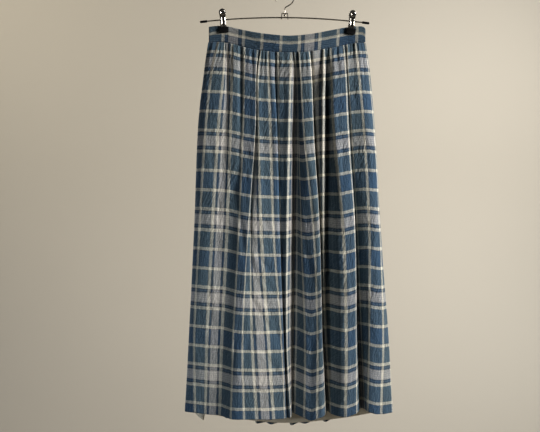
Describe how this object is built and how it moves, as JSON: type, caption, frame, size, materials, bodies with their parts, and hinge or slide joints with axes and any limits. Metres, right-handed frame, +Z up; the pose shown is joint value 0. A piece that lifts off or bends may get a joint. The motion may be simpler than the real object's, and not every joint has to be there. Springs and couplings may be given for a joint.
{
  "type": "dirndl skirt on clip hanger",
  "caption": "Long gathered dirndl skirt in blue and cream plaid cotton, lined, hanging by both ends of its waistband from a wire clip hanger.",
  "frame": {"origin": "the point inside the top of the hook where the hanger bears on a rail", "axes": "+Z up, -Y towards the viewer on the skirt's front, +X along the waistband towards the wearer's left side"},
  "size_m": [0.4672, 0.1132, 0.9876],
  "materials": {
    "plaid_cotton": "matt woven cotton, blue, grey-blue, lavender and cream plaid",
    "lining_cotton": "matt plain-woven cream cotton",
    "hanger_steel": "bright drawn wire and sheet",
    "clip_chrome": "plated pressed sheet",
    "black_rubber": "matt moulded rubber"
  },
  "bodies": {
    "root": {"waistband_front": "plaid_cotton", "waistband_back": "plaid_cotton", "panel_front": "plaid_cotton", "panel_back": "plaid_cotton", "lining_front": "lining_cotton", "lining_back": "lining_cotton", "hanger_bar": "hanger_steel", "hanger_hook": "hanger_steel", "hanger_saddle": "hanger_steel", "hanger_cap_left": "black_rubber", "hanger_cap_right": "black_rubber", "clip_left_jaw_front": "clip_chrome", "clip_left_jaw_back": "clip_chrome", "clip_left_boot_front": "black_rubber", "clip_left_boot_back": "black_rubber", "clip_left_spring": "clip_chrome", "clip_right_jaw_front": "clip_chrome", "clip_right_jaw_back": "clip_chrome", "clip_right_boot_front": "black_rubber", "clip_right_boot_back": "black_rubber", "clip_right_spring": "clip_chrome"}
  },
  "joints": []
}
